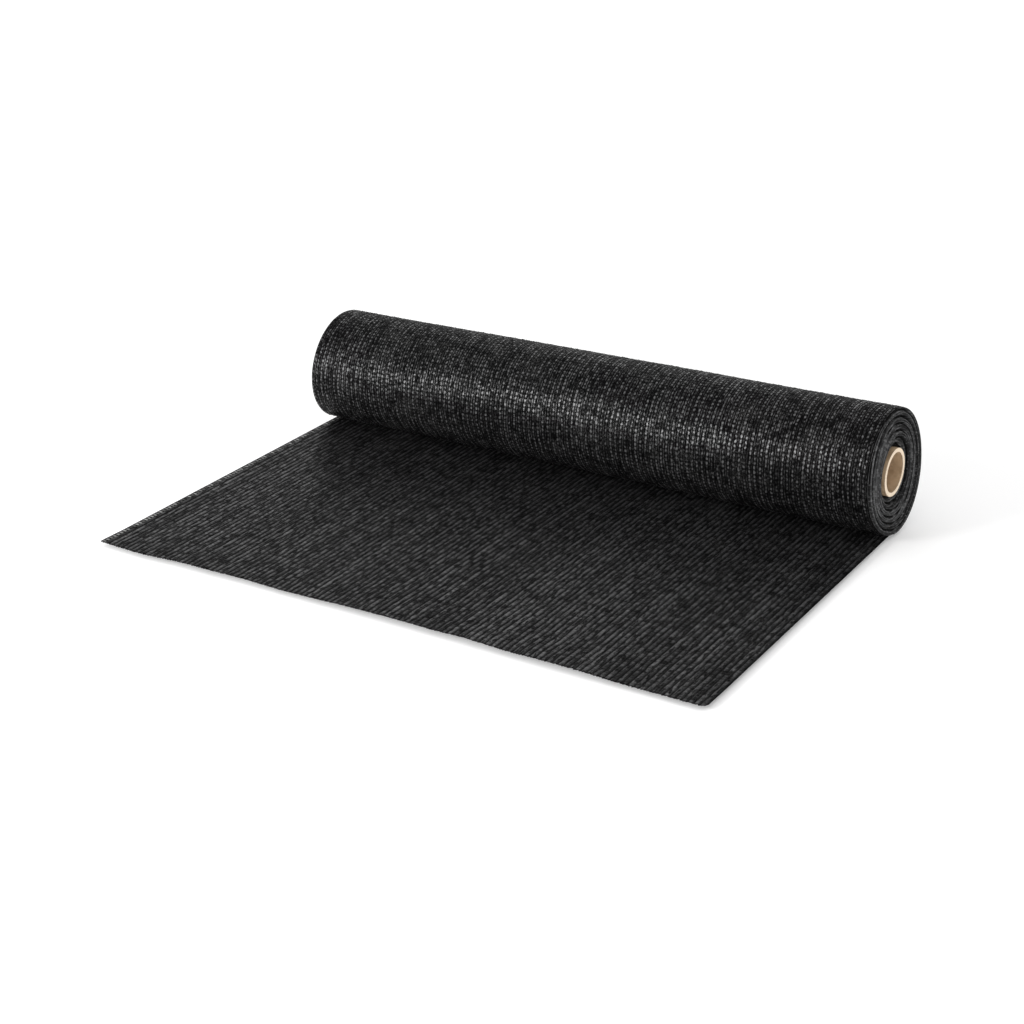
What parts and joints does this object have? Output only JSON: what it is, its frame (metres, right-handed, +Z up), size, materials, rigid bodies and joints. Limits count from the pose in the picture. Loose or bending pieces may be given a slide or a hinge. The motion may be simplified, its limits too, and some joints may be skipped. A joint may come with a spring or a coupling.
{
  "type": "roll of shade netting",
  "caption": "Roll of dark knitted shade netting wound on a cardboard core, with its loose end unrolled and laid flat in front.",
  "frame": {"origin": "on the floor, under the middle of the whole part's box", "axes": "+X along the roll towards its thicker end, +Y from the cut edge of the loose end towards the roll, +Z up"},
  "size_m": [1.0216, 0.737, 0.1954],
  "materials": {
    "netting": "satin charcoal knit",
    "core": "matte brown spiral-wound board"
  },
  "bodies": {
    "root": {"netting_roll": "netting", "loose_end": "netting", "core_tube": "core"}
  },
  "joints": []
}
